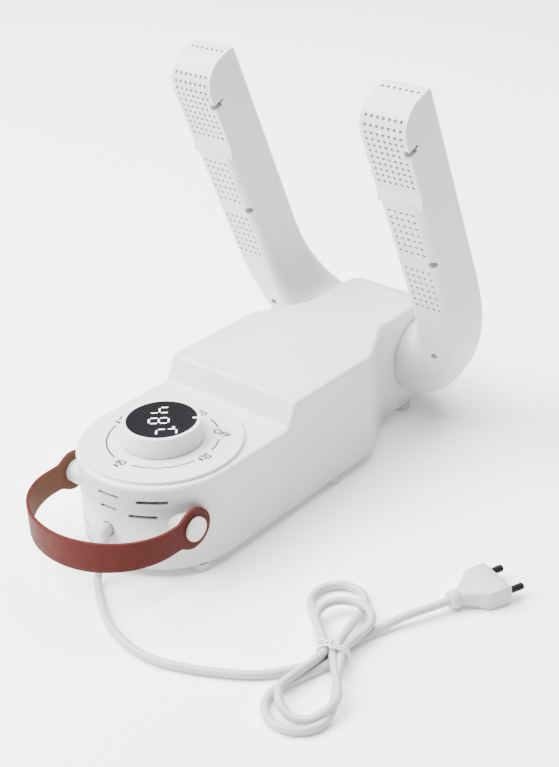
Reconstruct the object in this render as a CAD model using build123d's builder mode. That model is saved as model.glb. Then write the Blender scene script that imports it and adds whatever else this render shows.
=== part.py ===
"""Portable two-arm shoe dryer: a round-fronted heater box with a timer knob, a leather
carrying strap, two folding air arms and a mains lead.  Millimetres.

Frame: +Z up, the feet stand on Z = 0, -Y is the front (strap, knob and lead end), X = 0 is the
plane of symmetry, and the origin is on the floor under the middle of the dryer's length.
"""

import os
from math import cos, hypot, radians, sin, tan

from build123d import *

# ---------------------------------------------------------------- casing sizes
body_half_width = 50.0  # also the radius of the round front, centred on the knob
low_deck_height = 55.0  # underside of the casing to the dial deck
high_deck_height = 70.0  # underside of the casing to the rear deck
wall = 2.2
foot_height = 5.0
ramp_foot = 52.0  # behind the knob axis
ramp_run = 7.5
ramp_round = 3.0
knob_to_pivot = 205.0  # knob axis to the fold axis of the arms, along Y
tail_half_width = 30.4  # the narrow tail stands between the arms
shoulder_start = 131.0  # behind the knob axis: the sides turn in here
shoulder_run = 34.0
shoulder_round = 26.0
shoulder_inner_round = 5.0
tail_corner_round = 7.0
tail_plan_margin = 2.0  # the plan's square end runs past the round tail
deck_edge_round = 2.5

# dial, knob and display
dial_radius = 46.5
dial_thickness = 2.0
dial_edge_round = 0.6
knob_base_radius = 24.0
knob_height = 11.6
knob_taper = 6.0
knob_gap = 0.5  # under the knob's skirt
knob_skirt_inset = 0.4  # the hollow of the knob, inside its window
knob_flutes = 60
flute_radius = 0.45
flute_standoff = 0.1
knob_edge_round = 0.6
lens_radius = 20.4
lens_thickness = 1.6
display_width = 28.0
display_length = 17.0
display_depth = 3.0
display_pocket_radius = 17.5
knob_web = 2.0
knob_hub_radius = 6.0
knob_hub_drop = 3.0
pointer_angle = 42.0  # from +X, at the OFF mark
shaft_radius = 3.0
encoder_size = 13.0
encoder_height = 7.0
encoder_bush_radius = 4.5
encoder_nut_radius = 6.3
encoder_nut_thickness = 1.8
running_clearance = 0.05

# leather strap and its rivets
strap_reach = 87.5  # knob axis to the outer face of the strap's front
strap_bend_start = 44.0  # in front of the knob axis: the straight sides end here
strap_width = 19.0
strap_thickness = 1.9
strap_lobe_radius = 12.0
strap_clearance = 0.3
rivet_forward = 28.0  # in front of the knob axis
rivet_height = 31.0  # above the underside of the casing
rivet_post_reach = 47.4  # plane of symmetry to the face of each rivet post
rivet_post_radius = 7.0
rivet_shank_radius = 3.0
rivet_shank_depth = 6.0
rivet_cap_radius = 7.2
rivet_cap_thickness = 2.0
rivet_cap_round = 0.9

# folding arms
arm_lean = 21.7  # forward lean of the standing arms, degrees from vertical
arm_inner = 55.6  # plane of symmetry to the inner flank
arm_width = 31.2
arm_back = 14.25  # fold axis to the back face
arm_front = 21.0  # fold axis to the perforated face of the shaft
arm_length = 218.0  # fold axis to the tip
arm_wall = 2.0
shaft_round = 6.0
shaft_start = 77.0  # the elbow ends and the straight shaft begins
shaft_top = 157.0
head_start = 163.0
head_front = 18.25
head_front_round = 17.0
head_back_round = 8.0
hub_radius = 26.0
hub_gap = 0.5  # between the tail of the casing and the hub of the arm
elbow_steps = 6
arm_split = 8.0  # the plane that parts the front and back shells
collar_radius = 19.0
collar_wall = 2.5
collar_flange_radius = 22.0
collar_flange = 2.5
collar_reach = 9.0  # the collar enters the casing this far past the hub face
bush_wall = 2.0
bush_flange_radius = 24.0
bush_flange = 1.6
groove_depth = 1.0
ring_radius = 22.5
ring_width = 1.3
ring_gap = 0.1
arm_screws_at = ((12.2, 114.0), (13.8, 194.0))  # from the middle towards +X, height
elbow_screw_rise = 32.0
elbow_screw_across = 66.0
arm_screw_radius = 1.3
arm_screw_head_radius = 2.2
arm_screw_head = 1.8
arm_screw_depth = 9.0
arm_pocket_radius = 2.4
arm_pocket_floor = 2.5  # above the parting plane
arm_boss_radius = 3.8

# perforations
hole_radius = 1.05
head_columns = 7
head_rows = 11
head_column_pitch = 3.95
head_row_pitch = 4.2
head_first_row = 170.0
tip_row_back = 4.5  # behind the fold axis
shaft_columns = 5
shaft_rows = 7
shaft_column_pitch = 4.1
shaft_row_pitch = 5.1
shaft_field_starts = (75.5, 120.5)

# vents in the round front: (height above the underside, first and last angle from +X)
vent_height = 2.4
vents = (
    (46.5, -92.0, -75.5),
    (38.0, -91.0, -78.0),
    (45.5, -63.5, -43.0),
    (36.0, -69.5, -50.5),
    (15.0, -71.5, -52.0),
    (4.8, -74.0, -56.0),
    (46.5, -130.0, -108.0),
    (37.0, -124.0, -103.0),
    (15.0, -128.0, -108.0),
    (4.8, -124.0, -106.0),
)

# base plate, feet and screws
base_thickness = 2.4
base_clearance = 0.15
base_tail_gap = 3.0  # the plate stops this far in front of the fold axis
foot_radius = 6.3
foot_chamfer = 0.8
foot_stem_radius = 2.2
feet_at = ((40.0, -17.0), (43.0, 97.0), (24.0, 194.0))  # X, behind the knob axis
casing_screws_at = ((43.4, 30.0), (43.4, 118.0), (23.8, 180.0))
front_screw_at = -43.4
casing_screw_radius = 1.5
casing_screw_head_radius = 2.8
casing_screw_head = 1.4
casing_boss_radius = 4.8
casing_boss_height = 9.0

# fan, heater and ducting
fan_start = 64.0  # behind the knob axis
fan_size = 62.0
fan_depth = 20.0
fan_corner = 3.0
fan_bore_radius = 29.0
fan_hub_radius = 13.0
fan_hub_wall = 1.5
fan_blades = 7
fan_blade_thickness = 1.2
fan_blade_chord = 12.0
fan_blade_pitch = 35.0
fan_blade_reach = 28.2
fan_end_gap = 1.0
fan_blade_root = 0.6  # the blades start this far inside the hub
motor_radius = 10.0
motor_plate = 2.0
motor_arm_width = 5.0
fan_shaft_radius = 1.5
heater_size = 58.0
heater_depth = 14.0
heater_border = 4.0
heater_fins = 9
heater_fin_thickness = 1.4
heater_bar = 5.0
heater_core_inset = 2.0
rest_margin = 6.0  # the rests stop this far inside the fan and the heater
rest_inset = 2.0
cutout_radius = 6.0
cutout_height = 2.5
duct_wall = 1.6
duct_inlet = 56.0
duct_outlet = 46.0
duct_end_gap = 26.0  # the duct meets the manifold this far in front of the fold axis
manifold_half_width = 21.2
manifold_radius = 25.0

# electronics
board_width = 66.0
board_length = 62.0
board_thickness = 1.6
board_height = 20.0  # above the top of the base plate
board_start = -22.0
standoff_radius = 3.0
standoff_inset = 4.0
board_screw_radius = 1.2
board_screw_head_radius = 2.4
board_screw_head = 1.6
board_screw_depth = 7.0
transformer_size = (20.0, 17.0, 15.0)
relay_size = (16.0, 11.0, 13.0)
terminal_size = (18.0, 9.0, 10.0)
transformer_at = (-15.0, 22.0)  # X, behind the knob axis
relay_at = (15.0, 22.0)
capacitor_at = (-20.0, -4.0)
terminal_at = (18.0, -12.0)
capacitor_radius = 5.0
capacitor_height = 15.0

# mains lead, in the plane of the floor unless a height is given
cord_diameter = 5.0
gland_across = 3.0  # from the plane of symmetry
gland_height = 23.5  # above the underside of the casing
gland_radius = 4.4
gland_flange_radius = 6.5
gland_flange = 1.6
gland_flange_inset = 1.1  # the flat flange stands off the curved wall
gland_nose = 2.6  # outside the round front
gland_length = 20.0
gland_tip_radius = 3.2
gland_droop = (0.10, -0.38, -0.92)
lead_route = (
    (5.8, -63.3),
    (14.5, -70.0),
    (28.0, -80.8),
    (44.3, -89.3),
    (62.0, -93.4),
    (80.0, -93.0),
    (97.0, -86.6),
    (117.0, -76.2),
    (146.0, -60.0),
)
tail_route = (
    (148.6, -25.5, 0.0),
    (151.6, -15.5, 0.0),
    (155.0, -4.0, 0.6),
    (159.0, 8.0, 2.2),
    (164.4, 18.6, 3.4),
    (169.3, 28.2, 3.5),
)
hank_at = (147.0, -33.0)
hank_direction = (0.45, -0.893)
hank_lift = 1.0
hank_height = 10.0
hank_neck_length = 30.0
hank_neck_width = 14.0
hank_lobes = ((35.3, -3.2, 27.0, 19.0), (-35.8, -4.4, 30.0, 14.0))
tie_wall = 0.8
tie_width = 3.0
tie_clearance = 0.1
plug_at = (172.5, 36.5)
plug_direction = (0.36, 0.933)
plug_length = 31.5
plug_width = 27.0
plug_thickness = 12.0
plug_bevel = 2.2
plug_neck_width = 11.0
plug_neck_thickness = 9.5
plug_shoulder = 17.0
plug_shoulder_width = 24.5
plug_collar_radius = 5.2
plug_collar_length = 5.0
plug_pin_radius = 2.0
plug_pin_length = 10.0
plug_pin_spacing = 18.6
plug_pin_seat = 6.0
plug_pin_round = 0.8

# ---------------------------------------------------------------- derived places
tail_radius = high_deck_height / 2
knob_y = (strap_reach - knob_to_pivot - tail_radius) / 2
pivot_y = knob_y + knob_to_pivot
underside = foot_height
low_deck = underside + low_deck_height
high_deck = underside + high_deck_height
pivot_z = underside + tail_radius
base_top = underside + base_thickness
dial_top = low_deck + dial_thickness
knob_bottom = dial_top + knob_gap
knob_top = knob_bottom + knob_height
lens_bottom = knob_top - lens_thickness
display_bottom = lens_bottom - display_depth
web_bottom = display_bottom - knob_web
encoder_top = low_deck - wall
rivet_y = knob_y - rivet_forward
rivet_z = underside + rivet_height
strap_inner = rivet_post_reach + strap_clearance
strap_outer = strap_inner + strap_thickness
rivet_cap_x = strap_outer + strap_clearance
arm_middle = arm_inner + arm_width / 2
hub_start = tail_half_width + hub_gap
bush_radius = collar_radius + running_clearance + bush_wall
flank_inside = tail_half_width - wall
fan_y = knob_y + fan_start
heater_y = fan_y + fan_depth
duct_y = heater_y + heater_depth
duct_end_y = pivot_y - duct_end_gap
board_z = base_top + board_height
arm_frame = Location((0, pivot_y, pivot_z), (arm_lean, 0, 0))

os.makedirs("parts", exist_ok=True)


def write(builder, node):
    """Label a finished piece and write its STEP file."""
    builder.part.label = node
    export_step(builder.part, f"parts/{node}.step")


def leaning(plane):
    """A plane given in the upright arm's own frame, placed in the frame of the dryer."""
    return Plane(arm_frame * plane.location)


def across_y(distance):
    """A plane facing backwards at this Y."""
    return Plane(origin=(0, distance, 0), x_dir=(-1, 0, 0), z_dir=(0, 1, 0))


def across_x(distance):
    """A plane facing +X at this X, seen with +Y to the right."""
    return Plane.YZ.offset(distance)


# ---------------------------------------------------------------- upper casing
def casing_plan(inset):
    """Outline of the casing seen from above, moved inwards by inset."""
    with BuildSketch() as plan:
        with BuildLine():
            side = FilletPolyline(
                (body_half_width, knob_y),
                (body_half_width, knob_y + shoulder_start),
                (tail_half_width, knob_y + shoulder_start + shoulder_run),
                (tail_half_width, pivot_y + tail_radius + tail_plan_margin),
                (0, pivot_y + tail_radius + tail_plan_margin),
                radius=[shoulder_round, shoulder_inner_round, tail_corner_round],
            )
            mirror(side, about=Plane.YZ)
            ThreePointArc(
                (body_half_width, knob_y),
                (0, knob_y - body_half_width),
                (-body_half_width, knob_y),
            )
        make_face()
        if inset:
            offset(amount=-inset, kind=Kind.INTERSECTION)
    return plan.sketch


def casing_side(inset, front):
    """Outline of the casing seen from the side, moved inwards by inset behind its front."""
    with BuildSketch() as side:
        with BuildLine():
            deck = FilletPolyline(
                (knob_y + front, low_deck),
                (knob_y + ramp_foot, low_deck),
                (knob_y + ramp_foot + ramp_run, high_deck),
                (pivot_y, high_deck),
                radius=ramp_round,
            )
            ThreePointArc(
                (pivot_y, high_deck),
                (pivot_y + tail_radius, pivot_z),
                (pivot_y, underside),
            )
            Polyline((pivot_y, underside), (knob_y + front, underside), (knob_y + front, low_deck))
        make_face()
        if inset:
            offset(amount=-inset, kind=Kind.INTERSECTION)
    return side.sketch


with BuildPart() as cavity:
    with BuildSketch(Plane.XY.offset(underside)):
        add(casing_plan(wall))
    extrude(amount=high_deck_height)
    with BuildSketch(Plane.YZ):
        add(casing_side(wall, -2 * body_half_width))
    extrude(amount=body_half_width, both=True, mode=Mode.INTERSECT)

with BuildPart() as upper_casing:
    with BuildSketch(Plane.XY.offset(underside)):
        add(casing_plan(0))
    extrude(amount=high_deck_height)
    with BuildSketch(Plane.YZ):
        add(casing_side(0, -2 * body_half_width))
    extrude(amount=body_half_width + wall, both=True, mode=Mode.INTERSECT)
    deck_edges = upper_casing.edges().filter_by(
        lambda edge: edge.center().Z > low_deck - 1 and abs(edge.tangent_at(0.5).X) < 0.95
    )
    fillet(deck_edges, deck_edge_round)
    add(cavity.part, mode=Mode.SUBTRACT)
    # opening for the base plate
    with BuildSketch(Plane.XY.offset(underside)):
        add(casing_plan(wall))
        with Locations((0, pivot_y - base_tail_gap + base_clearance + body_half_width)):
            Rectangle(2 * body_half_width, 2 * body_half_width, mode=Mode.SUBTRACT)
    extrude(amount=wall + 1, mode=Mode.SUBTRACT)
    # screw bosses
    with BuildSketch(Plane.XY.offset(base_top)):
        for across, behind in casing_screws_at:
            with Locations((across, knob_y + behind), (-across, knob_y + behind)):
                Circle(casing_boss_radius)
        with Locations((0, knob_y + front_screw_at)):
            Circle(casing_boss_radius)
    extrude(amount=casing_boss_height)
    with BuildSketch(Plane.XY.offset(base_top)):
        for across, behind in casing_screws_at:
            with Locations((across, knob_y + behind), (-across, knob_y + behind)):
                Circle(casing_screw_radius)
        with Locations((0, knob_y + front_screw_at)):
            Circle(casing_screw_radius)
    extrude(amount=casing_boss_height - 1, mode=Mode.SUBTRACT)
    # posts for the strap rivets
    for side in (-1, 1):
        with BuildSketch(across_x(side * rivet_post_reach)):
            with Locations((rivet_y, rivet_z)):
                Circle(rivet_post_radius)
        extrude(amount=-side * (rivet_post_reach - body_half_width * cos(radians(45))))
        with BuildSketch(across_x(side * rivet_post_reach)):
            with Locations((rivet_y, rivet_z)):
                Circle(rivet_shank_radius)
        extrude(amount=-side * rivet_shank_depth, mode=Mode.SUBTRACT)
    # seats for the arm bushes, the encoder bush and the lead
    with BuildSketch(Plane.YZ):
        with Locations((pivot_y, pivot_z)):
            Circle(bush_radius)
    extrude(amount=body_half_width, both=True, mode=Mode.SUBTRACT)
    with BuildSketch(Plane.XY.offset(encoder_top)):
        with Locations((0, knob_y)):
            Circle(encoder_bush_radius)
    extrude(amount=2 * wall, mode=Mode.SUBTRACT)
    with BuildSketch(across_y(knob_y)):
        with Locations((-gland_across, underside + gland_height)):
            Circle(gland_radius)
    extrude(amount=-body_half_width, mode=Mode.SUBTRACT)
    # air inlet slots in the round front
    for rise, first, last in vents:
        with BuildSketch(Plane.XY.offset(underside + rise - vent_height / 2)):
            with BuildLine():
                reach = body_half_width + 5
                Polyline(
                    (0, knob_y),
                    (reach * cos(radians(first)), knob_y + reach * sin(radians(first))),
                    (1.2 * reach * cos(radians((first + last) / 2)),
                     knob_y + 1.2 * reach * sin(radians((first + last) / 2))),
                    (reach * cos(radians(last)), knob_y + reach * sin(radians(last))),
                    close=True,
                )
            make_face()
            with Locations((0, knob_y)):
                Circle(body_half_width - 2 * wall, mode=Mode.SUBTRACT)
        extrude(amount=vent_height, mode=Mode.SUBTRACT)
write(upper_casing, "upper_casing")

# ---------------------------------------------------------------- base plate, feet and screws
with BuildPart() as base_plate:
    with BuildSketch(Plane.XY.offset(underside)):
        add(casing_plan(wall + base_clearance))
        with Locations((0, pivot_y - base_tail_gap + body_half_width)):
            Rectangle(2 * body_half_width, 2 * body_half_width, mode=Mode.SUBTRACT)
        for across, behind in feet_at:
            with Locations((across, knob_y + behind), (-across, knob_y + behind)):
                Circle(foot_stem_radius, mode=Mode.SUBTRACT)
    extrude(amount=base_thickness)
    # rests for the fan and the heater, posts for the board
    with BuildSketch(Plane.XY.offset(base_top)):
        with Locations((0, fan_y + fan_depth / 2)):
            Rectangle(fan_size - 2 * rest_margin, fan_depth - 2 * rest_inset)
    extrude(amount=pivot_z - fan_size / 2 - base_top)
    with BuildSketch(Plane.XY.offset(base_top)):
        with Locations((0, heater_y + heater_depth / 2)):
            Rectangle(heater_size - 2 * rest_margin, heater_depth - 2 * rest_inset)
    extrude(amount=pivot_z - heater_size / 2 - base_top)
    with BuildSketch(Plane.XY.offset(base_top)):
        with Locations((0, knob_y + board_start + board_length / 2)):
            with GridLocations(
                board_width - 2 * standoff_inset, board_length - 2 * standoff_inset, 2, 2
            ):
                Circle(standoff_radius)
    extrude(amount=board_height)
    with BuildSketch(Plane.XY.offset(board_z)):
        with Locations((0, knob_y + board_start + board_length / 2)):
            with GridLocations(
                board_width - 2 * standoff_inset, board_length - 2 * standoff_inset, 2, 2
            ):
                Circle(board_screw_radius)
    extrude(amount=-board_screw_depth, mode=Mode.SUBTRACT)
    # countersunk seats of the casing screws
    for radius, depth in (
        (casing_screw_radius, base_thickness),
        (casing_screw_head_radius, casing_screw_head),
    ):
        with BuildSketch(Plane.XY.offset(underside)):
            for across, behind in casing_screws_at:
                with Locations((across, knob_y + behind), (-across, knob_y + behind)):
                    Circle(radius)
            with Locations((0, knob_y + front_screw_at)):
                Circle(radius)
        extrude(amount=depth, mode=Mode.SUBTRACT)
write(base_plate, "base_plate")

with BuildPart() as rubber_feet:
    with BuildSketch(Plane.XY):
        for across, behind in feet_at:
            with Locations((across, knob_y + behind), (-across, knob_y + behind)):
                Circle(foot_radius)
    extrude(amount=foot_height)
    chamfer(rubber_feet.edges().group_by(Axis.Z)[0], foot_chamfer)
    with BuildSketch(Plane.XY.offset(foot_height)):
        for across, behind in feet_at:
            with Locations((across, knob_y + behind), (-across, knob_y + behind)):
                Circle(foot_stem_radius)
    extrude(amount=base_thickness)
write(rubber_feet, "rubber_feet")

with BuildPart() as casing_screws:
    for radius, depth in (
        (casing_screw_radius, base_thickness + casing_boss_height - 2),
        (casing_screw_head_radius, casing_screw_head),
    ):
        with BuildSketch(Plane.XY.offset(underside)):
            for across, behind in casing_screws_at:
                with Locations((across, knob_y + behind), (-across, knob_y + behind)):
                    Circle(radius)
            with Locations((0, knob_y + front_screw_at)):
                Circle(radius)
        extrude(amount=depth)
write(casing_screws, "casing_screws")

# ---------------------------------------------------------------- dial, encoder and knob
with BuildPart() as timer_dial:
    with BuildSketch(Plane.XY.offset(low_deck)):
        with Locations((0, knob_y)):
            Circle(dial_radius)
            Circle(encoder_bush_radius, mode=Mode.SUBTRACT)
    extrude(amount=dial_thickness)
    fillet(timer_dial.edges().group_by(Axis.Z)[-1].sort_by(SortBy.RADIUS)[-1], dial_edge_round)
write(timer_dial, "timer_dial")

with BuildPart() as timer_encoder:
    with BuildSketch(Plane.XY.offset(encoder_top)):
        with Locations((0, knob_y)):
            Rectangle(encoder_size, encoder_size)
    extrude(amount=-encoder_height)
    with BuildSketch(Plane.XY.offset(encoder_top)):
        with Locations((0, knob_y)):
            Circle(encoder_bush_radius)
    extrude(amount=dial_top + encoder_nut_thickness + knob_gap - encoder_top)
    with BuildSketch(Plane.XY.offset(encoder_top - encoder_height + 1)):
        with Locations((0, knob_y)):
            Circle(shaft_radius + running_clearance)
    extrude(amount=encoder_height + low_deck_height, mode=Mode.SUBTRACT)
write(timer_encoder, "timer_encoder")

with BuildPart() as encoder_nut:
    with BuildSketch(Plane.XY.offset(dial_top)):
        with Locations((0, knob_y)):
            RegularPolygon(encoder_nut_radius, 6)
            Circle(encoder_bush_radius, mode=Mode.SUBTRACT)
    extrude(amount=encoder_nut_thickness)
write(encoder_nut, "encoder_nut")

with BuildPart() as knob_shaft:
    with BuildSketch(Plane.XY.offset(encoder_top - encoder_height + 1.5)):
        with Locations((0, knob_y)):
            Circle(shaft_radius)
    extrude(amount=web_bottom - encoder_top + encoder_height - 1.5)
write(knob_shaft, "knob_shaft")

with BuildPart() as knob:
    with BuildSketch(Plane.XY.offset(knob_bottom)):
        with Locations((0, knob_y)):
            Circle(knob_base_radius)
    extrude(amount=knob_height, taper=knob_taper)
    fillet(knob.edges().group_by(Axis.Z)[-1], knob_edge_round)
    # fluted grip
    with BuildSketch(Plane.XY.offset(knob_bottom)):
        with Locations((0, knob_y)):
            with PolarLocations(knob_base_radius + flute_standoff, knob_flutes):
                Circle(flute_radius)
    extrude(amount=knob_height - 2, taper=0, mode=Mode.SUBTRACT)
    # hollow underside with the hub left standing
    with BuildSketch(Plane.XY.offset(knob_bottom)):
        with Locations((0, knob_y)):
            Circle(lens_radius - knob_skirt_inset)
    extrude(amount=web_bottom - knob_bottom, mode=Mode.SUBTRACT)
    with BuildSketch(Plane.XY.offset(web_bottom)):
        with Locations((0, knob_y)):
            Circle(knob_hub_radius)
            Circle(shaft_radius, mode=Mode.SUBTRACT)
    extrude(amount=-knob_hub_drop)
    # seats for the display and its window
    with BuildSketch(Plane.XY.offset(display_bottom)):
        with Locations((0, knob_y)):
            Circle(display_pocket_radius)
    extrude(amount=display_depth, mode=Mode.SUBTRACT)
    with BuildSketch(Plane.XY.offset(lens_bottom)):
        with Locations((0, knob_y)):
            Circle(lens_radius)
    extrude(amount=lens_thickness, mode=Mode.SUBTRACT)
write(knob, "knob")

with BuildPart() as display_module:
    with BuildSketch(Plane.XY.offset(display_bottom)):
        with Locations(Location((0, knob_y), pointer_angle)):
            Rectangle(display_length, display_width)
    extrude(amount=display_depth)
write(display_module, "display_module")

with BuildPart() as display_window:
    with BuildSketch(Plane.XY.offset(lens_bottom)):
        with Locations((0, knob_y)):
            Circle(lens_radius)
    extrude(amount=lens_thickness)
write(display_window, "display_window")

# ---------------------------------------------------------------- strap
with BuildPart() as strap:
    with BuildSketch(Plane.XY.offset(rivet_z - strap_width / 2)):
        for across, bend in (
            (strap_outer, strap_reach - strap_bend_start),
            (strap_inner, strap_reach - strap_bend_start - strap_thickness),
        ):
            mode = Mode.ADD if across == strap_outer else Mode.SUBTRACT
            with Locations((0, knob_y - strap_bend_start)):
                Ellipse(across, bend, mode=mode)
            with Locations((0, (rivet_y + knob_y - strap_bend_start) / 2)):
                Rectangle(2 * across, strap_bend_start - rivet_forward, mode=mode)
        with Locations((0, rivet_y + body_half_width)):
            Rectangle(3 * body_half_width, 2 * body_half_width, mode=Mode.SUBTRACT)
    extrude(amount=strap_width)
    for side in (-1, 1):
        with BuildSketch(across_x(side * strap_inner)):
            with Locations((rivet_y, rivet_z)):
                Circle(strap_lobe_radius)
        extrude(amount=side * strap_thickness)
    with BuildSketch(Plane.YZ):
        with Locations((rivet_y, rivet_z)):
            Circle(rivet_shank_radius + running_clearance)
    extrude(amount=2 * body_half_width, both=True, mode=Mode.SUBTRACT)
write(strap, "strap")

with BuildPart() as strap_rivets:
    for side in (-1, 1):
        with BuildSketch(across_x(side * rivet_cap_x)):
            with Locations((rivet_y, rivet_z)):
                Circle(rivet_shank_radius)
        extrude(amount=-side * (rivet_cap_x - rivet_post_reach + rivet_shank_depth))
        with BuildSketch(across_x(side * rivet_cap_x)):
            with Locations((rivet_y, rivet_z)):
                Circle(rivet_cap_radius)
        extrude(amount=side * rivet_cap_thickness)
    rims = strap_rivets.edges().filter_by(
        lambda edge: abs(abs(edge.center().X) - rivet_cap_x - rivet_cap_thickness) < 0.1
    )
    fillet(rims, rivet_cap_round)
write(strap_rivets, "strap_rivets")

# ---------------------------------------------------------------- fan
with BuildPart() as fan_housing:
    with BuildSketch(across_y(fan_y)):
        with Locations((0, pivot_z)):
            RectangleRounded(fan_size, fan_size, fan_corner)
            Circle(fan_bore_radius, mode=Mode.SUBTRACT)
    extrude(amount=fan_depth)
    with BuildSketch(across_y(fan_y + fan_depth - motor_plate)):
        with Locations((0, pivot_z)):
            Circle(motor_radius)
            Rectangle(2 * fan_bore_radius + 1, motor_arm_width)
            Rectangle(motor_arm_width, 2 * fan_bore_radius + 1)
    extrude(amount=motor_plate)
write(fan_housing, "fan_housing")

motor_start = fan_y + fan_end_gap + fan_hub_wall + fan_end_gap
motor_end = fan_y + fan_depth - motor_plate

with BuildPart() as fan_motor:
    with BuildSketch(across_y(motor_start)):
        with Locations((0, pivot_z)):
            Circle(motor_radius)
    extrude(amount=motor_end - motor_start)
    with BuildSketch(across_y(motor_start)):
        with Locations((0, pivot_z)):
            Circle(fan_shaft_radius + running_clearance)
    extrude(amount=motor_end - motor_start - 1, mode=Mode.SUBTRACT)
write(fan_motor, "fan_motor")

with BuildPart() as fan_impeller:
    with BuildSketch(across_y(fan_y + fan_end_gap)):
        with Locations((0, pivot_z)):
            Circle(fan_hub_radius)
    extrude(amount=motor_end - fan_end_gap - fan_y - fan_end_gap)
    with BuildSketch(across_y(fan_y + fan_end_gap + fan_hub_wall)):
        with Locations((0, pivot_z)):
            Circle(fan_hub_radius - fan_hub_wall)
    extrude(amount=fan_depth, mode=Mode.SUBTRACT)
    with BuildSketch(across_y(fan_y)):
        with Locations((0, pivot_z)):
            Circle(fan_shaft_radius)
    extrude(amount=fan_depth, mode=Mode.SUBTRACT)
    for blade in range(fan_blades):
        turn = radians(360 * blade / fan_blades)
        outward = (sin(turn), 0, cos(turn))
        root = fan_hub_radius - fan_blade_root
        middle = fan_y + fan_end_gap + (motor_end - fan_y - 2 * fan_end_gap) / 2
        place = Plane(
            origin=(root * outward[0], middle, pivot_z + root * outward[2]),
            x_dir=(0, 1, 0),
            z_dir=outward,
        )
        with BuildSketch(place):
            Rectangle(fan_blade_chord, fan_blade_thickness, rotation=fan_blade_pitch)
        extrude(amount=fan_blade_reach - root)
write(fan_impeller, "fan_impeller")

with BuildPart() as fan_shaft:
    with BuildSketch(across_y(fan_y + fan_end_gap)):
        with Locations((0, pivot_z)):
            Circle(fan_shaft_radius)
    extrude(amount=motor_end - 2 * fan_end_gap - fan_y - fan_end_gap)
write(fan_shaft, "fan_shaft")

# ---------------------------------------------------------------- heater and ducting
with BuildPart() as heater_frame:
    with BuildSketch(across_y(heater_y)):
        with Locations((0, pivot_z)):
            RectangleRounded(heater_size, heater_size, fan_corner)
            Rectangle(
                heater_size - 2 * heater_border, heater_size - 2 * heater_border,
                mode=Mode.SUBTRACT,
            )
    extrude(amount=heater_depth)
write(heater_frame, "heater_frame")

with BuildPart() as heater_core:
    opening = heater_size - 2 * heater_border
    with BuildSketch(across_y(heater_y + heater_core_inset)):
        with Locations((0, pivot_z)):
            with GridLocations(opening / (heater_fins + 1), 0, heater_fins, 1):
                Rectangle(heater_fin_thickness, opening)
            with GridLocations(0, opening / 3, 1, 2):
                Rectangle(opening, heater_bar)
    extrude(amount=heater_depth - 2 * heater_core_inset)
write(heater_core, "heater_core")

with BuildPart() as thermal_cutout:
    with BuildSketch(Plane.XY.offset(pivot_z + heater_size / 2)):
        with Locations((0, heater_y + heater_depth / 2)):
            Circle(cutout_radius)
    extrude(amount=cutout_height)
write(thermal_cutout, "thermal_cutout")

with BuildPart() as air_duct:
    for inlet, outlet, mode in (
        (duct_inlet, duct_outlet, Mode.ADD),
        (duct_inlet - 2 * duct_wall, duct_outlet - 2 * duct_wall, Mode.SUBTRACT),
    ):
        with BuildSketch(across_y(duct_y)):
            with Locations((0, pivot_z)):
                RectangleRounded(inlet, inlet, fan_corner)
        with BuildSketch(across_y(duct_end_y)):
            with Locations((0, pivot_z)):
                RectangleRounded(outlet, outlet, fan_corner)
        loft(mode=mode)
write(air_duct, "air_duct")

with BuildPart() as air_manifold:
    collar_across = 2 * manifold_half_width
    with BuildSketch(Plane.YZ):
        with Locations((pivot_y, pivot_z)):
            Circle(manifold_radius)
    extrude(amount=manifold_half_width, both=True)
    with BuildSketch(across_y(duct_end_y)):
        with Locations((0, pivot_z)):
            Rectangle(collar_across, collar_across)
    extrude(amount=duct_end_gap)
    with BuildSketch(Plane.YZ):
        with Locations((pivot_y, pivot_z)):
            Circle(manifold_radius - duct_wall)
    extrude(amount=manifold_half_width, both=True, mode=Mode.SUBTRACT)
    with BuildSketch(across_y(duct_end_y)):
        with Locations((0, pivot_z)):
            Rectangle(collar_across - 2 * duct_wall, collar_across - 2 * duct_wall)
    extrude(amount=duct_end_gap, mode=Mode.SUBTRACT)
write(air_manifold, "air_manifold")

# ---------------------------------------------------------------- electronics
with BuildPart() as control_board:
    with BuildSketch(Plane.XY.offset(board_z)):
        with Locations((0, knob_y + board_start + board_length / 2)):
            Rectangle(board_width, board_length)
            with GridLocations(
                board_width - 2 * standoff_inset, board_length - 2 * standoff_inset, 2, 2
            ):
                Circle(board_screw_radius, mode=Mode.SUBTRACT)
    extrude(amount=board_thickness)
write(control_board, "control_board")

board_top = board_z + board_thickness

with BuildPart() as board_screws:
    with BuildSketch(Plane.XY.offset(board_top)):
        with Locations((0, knob_y + board_start + board_length / 2)):
            with GridLocations(
                board_width - 2 * standoff_inset, board_length - 2 * standoff_inset, 2, 2
            ):
                Circle(board_screw_head_radius)
    extrude(amount=board_screw_head)
    with BuildSketch(Plane.XY.offset(board_top)):
        with Locations((0, knob_y + board_start + board_length / 2)):
            with GridLocations(
                board_width - 2 * standoff_inset, board_length - 2 * standoff_inset, 2, 2
            ):
                Circle(board_screw_radius)
    extrude(amount=-board_thickness - board_screw_depth)
write(board_screws, "board_screws")

with BuildPart() as transformer:
    with BuildSketch(Plane.XY.offset(board_top)):
        with Locations((transformer_at[0], knob_y + transformer_at[1])):
            Rectangle(transformer_size[0], transformer_size[1])
    extrude(amount=transformer_size[2])
write(transformer, "transformer")

with BuildPart() as relay:
    with BuildSketch(Plane.XY.offset(board_top)):
        with Locations((relay_at[0], knob_y + relay_at[1])):
            Rectangle(relay_size[0], relay_size[1])
    extrude(amount=relay_size[2])
write(relay, "relay")

with BuildPart() as capacitor:
    with BuildSketch(Plane.XY.offset(board_top)):
        with Locations((capacitor_at[0], knob_y + capacitor_at[1])):
            Circle(capacitor_radius)
    extrude(amount=capacitor_height)
write(capacitor, "capacitor")

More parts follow.
